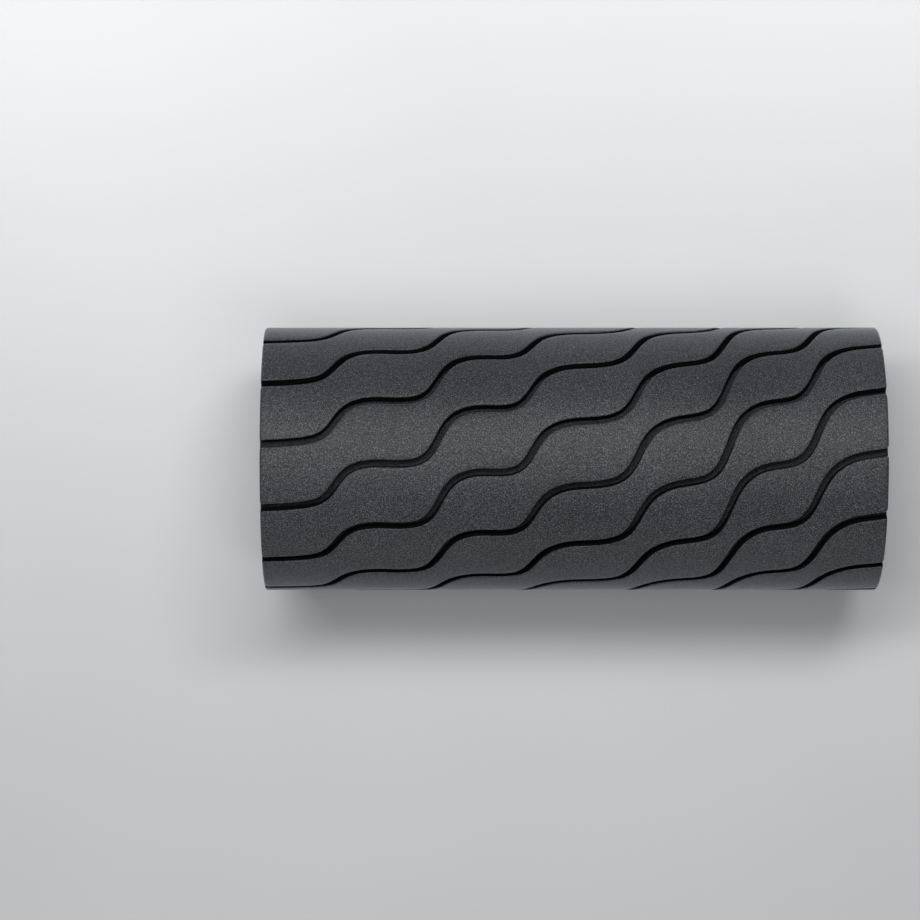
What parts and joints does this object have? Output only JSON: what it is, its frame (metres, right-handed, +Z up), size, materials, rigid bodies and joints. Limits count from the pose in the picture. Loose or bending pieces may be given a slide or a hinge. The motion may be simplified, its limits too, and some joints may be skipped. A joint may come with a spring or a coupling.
{
  "type": "vibrating foam roller",
  "caption": "Vibrating massage roller: wave-grooved foam sleeve on a rigid tube, with a motor, eccentric weights, battery and push buttons inside.",
  "frame": {"origin": "centre of the roller, on its axis at mid-length", "axes": "+X along the roller's axis towards the end with the buttons, +Z up with the roller lying on its side, +Y across it"},
  "size_m": [0.302, 0.13, 0.13],
  "materials": {
    "foam": "fine-grained matt closed-cell foam, moulded",
    "tube_plastic": "extruded ABS, matt",
    "shell_plastic": "moulded ABS, fine spark texture",
    "fascia_plastic": "moulded ABS, satin",
    "button_rubber": "satin silicone over ABS",
    "gasket_foam": "soft sealing foam",
    "chassis_plastic": "natural ABS, matt",
    "light_pipe": "clear frosted acrylic",
    "led": "encapsulated",
    "circuit_board": "solder-masked glass epoxy",
    "connector_plastic": "nylon",
    "black_nylon": "moulded nylon",
    "contact_metal": "nickel-plated brass",
    "screw_steel": "zinc-plated",
    "motor_steel": "zinc-plated deep-drawn steel",
    "shaft_steel": "ground",
    "lamination_steel": "stacked laminations",
    "weight_steel": "sintered",
    "copper": "enamelled copper wire",
    "ferrite": "sintered ferrite",
    "carbon": "pressed graphite",
    "bearing_steel": "ground and polished",
    "cage_brass": "pressed",
    "damping_rubber": "matt",
    "cell_wrap": null,
    "cell_strip": "nickel",
    "pad_foam": "soft foam",
    "insulation_paper": "barley paper",
    "chip_epoxy": "moulded epoxy",
    "capacitor_sleeve": "sleeved aluminium can",
    "red_insulation": "silicone wire",
    "black_insulation": "silicone wire",
    "ribbon": "flat cable"
  },
  "bodies": {
    "root": {"foam_sleeve": "foam", "core_tube": "tube_plastic", "end_cap_control": "shell_plastic", "end_cap_plain": "shell_plastic", "control_fascia": "fascia_plastic", "plain_fascia": "fascia_plastic", "fascia_gaskets": "gasket_foam", "end_cap_screws": "screw_steel", "tact_switches": "black_nylon", "light_pipes": "light_pipe", "status_leds": "led", "control_board": "circuit_board", "control_board_screws": "screw_steel", "jack_housing": "black_nylon", "jack_pin": "contact_metal", "panel_connector": "connector_plastic", "ribbon_cable": "ribbon", "chassis_lower": "chassis_plastic", "chassis_upper": "chassis_plastic", "chassis_screws": "screw_steel", "motor_can": "motor_steel", "motor_end_bell": "black_nylon", "motor_magnets": "ferrite", "motor_brushes": "carbon", "motor_terminals": "contact_metal", "motor_sleeves": "damping_rubber", "bearing_outer_rings": "bearing_steel", "battery_cells": "cell_wrap", "cell_holders": "black_nylon", "cell_strips": "cell_strip", "battery_pads": "pad_foam", "battery_insulator": "insulation_paper", "battery_board": "circuit_board", "battery_leads": "red_insulation", "motor_leads": "black_insulation", "main_board": "circuit_board", "main_board_screws": "screw_steel", "board_chips": "chip_epoxy", "board_capacitors": "capacitor_sleeve", "board_connectors": "connector_plastic"},
    "rotor": {"motor_shaft": "shaft_steel", "rotor_core": "lamination_steel", "rotor_windings": "copper", "commutator": "copper", "front_weight": "weight_steel", "rear_weight": "weight_steel", "weight_screws": "screw_steel", "bearing_inner_rings": "bearing_steel"},
    "front_bearing": {"front_balls": "bearing_steel", "front_cage": "cage_brass"},
    "rear_bearing": {"rear_balls": "bearing_steel", "rear_cage": "cage_brass"},
    "power_key": {"power_button": "button_rubber", "power_plunger": "black_nylon"},
    "plus_key": {"plus_button": "button_rubber", "plus_plunger": "black_nylon"},
    "minus_key": {"minus_button": "button_rubber", "minus_plunger": "black_nylon"}
  },
  "joints": [
    {"name": "motor_spin", "type": "hinge", "parent": "root", "child": "rotor", "pos_m": [0, 0, 0], "axis": [1, 0, 0], "continuous": true},
    {"name": "front_cage_spin", "type": "hinge", "parent": "root", "child": "front_bearing", "pos_m": [0, 0, 0], "axis": [1, 0, 0], "continuous": true},
    {"name": "rear_cage_spin", "type": "hinge", "parent": "root", "child": "rear_bearing", "pos_m": [0, 0, 0], "axis": [1, 0, 0], "continuous": true},
    {"name": "power_press", "type": "slide", "parent": "root", "child": "power_key", "axis": [-1, 0, 0], "range_m": [0, 0.0008], "stiffness_N_per_m": 800, "springref_m": -0.001},
    {"name": "plus_press", "type": "slide", "parent": "root", "child": "plus_key", "axis": [-1, 0, 0], "range_m": [0, 0.0008], "stiffness_N_per_m": 800, "springref_m": -0.001},
    {"name": "minus_press", "type": "slide", "parent": "root", "child": "minus_key", "axis": [-1, 0, 0], "range_m": [0, 0.0008], "stiffness_N_per_m": 800, "springref_m": -0.001}
  ],
  "couplings": [
    {"joint": "front_cage_spin", "follows": "motor_spin", "ratio": 0.3571},
    {"joint": "rear_cage_spin", "follows": "motor_spin", "ratio": 0.3571}
  ]
}
